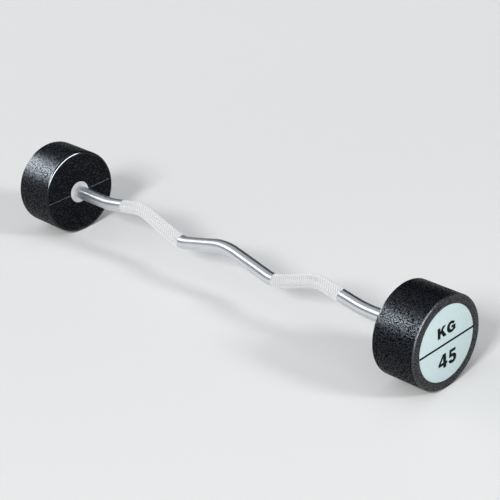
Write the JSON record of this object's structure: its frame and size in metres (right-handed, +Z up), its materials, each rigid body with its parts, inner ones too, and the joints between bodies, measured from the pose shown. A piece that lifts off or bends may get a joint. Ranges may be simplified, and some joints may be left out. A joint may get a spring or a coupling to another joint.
{
  "type": "fixed curl barbell",
  "caption": "Fixed-weight curl barbell: a zigzag-bent chromed bar with knurled grips between round rubber-covered heads, lifted by hand for arm curls.",
  "frame": {"origin": "on the floor under the middle of the bar, where the centre of the part's box meets the floor", "axes": "+X along the bar, +Y across it, +Z up; the bends lie in the XZ plane with the middle bend's crown up"},
  "size_m": [1.236, 0.2, 0.2],
  "materials": {
    "chromed_bar": "bright chrome plating, diamond-knurled on the two grips",
    "collar_steel": "satin plated steel",
    "core_steel": "machined steel",
    "head_rubber": "black moulded rubber with a fine pebble grain",
    "plated_steel": "zinc-plated steel",
    "black_steel": "black oxide",
    "label_face": "pale mint printed plastic, satin"
  },
  "bodies": {
    "root": {"curl_bar": "chromed_bar", "left_stop_collar": "collar_steel", "left_drive_key": "core_steel", "left_weight_core": "core_steel", "left_rubber_cover": "head_rubber", "left_clamp_washer": "plated_steel", "left_lock_washer": "black_steel", "left_end_bolt": "black_steel", "left_end_plate": "plated_steel", "left_end_plate_screws": "black_steel", "left_label_disc": "label_face", "right_stop_collar": "collar_steel", "right_drive_key": "core_steel", "right_weight_core": "core_steel", "right_rubber_cover": "head_rubber", "right_clamp_washer": "plated_steel", "right_lock_washer": "black_steel", "right_end_bolt": "black_steel", "right_end_plate": "plated_steel", "right_end_plate_screws": "black_steel", "right_label_disc": "label_face"}
  },
  "joints": []
}
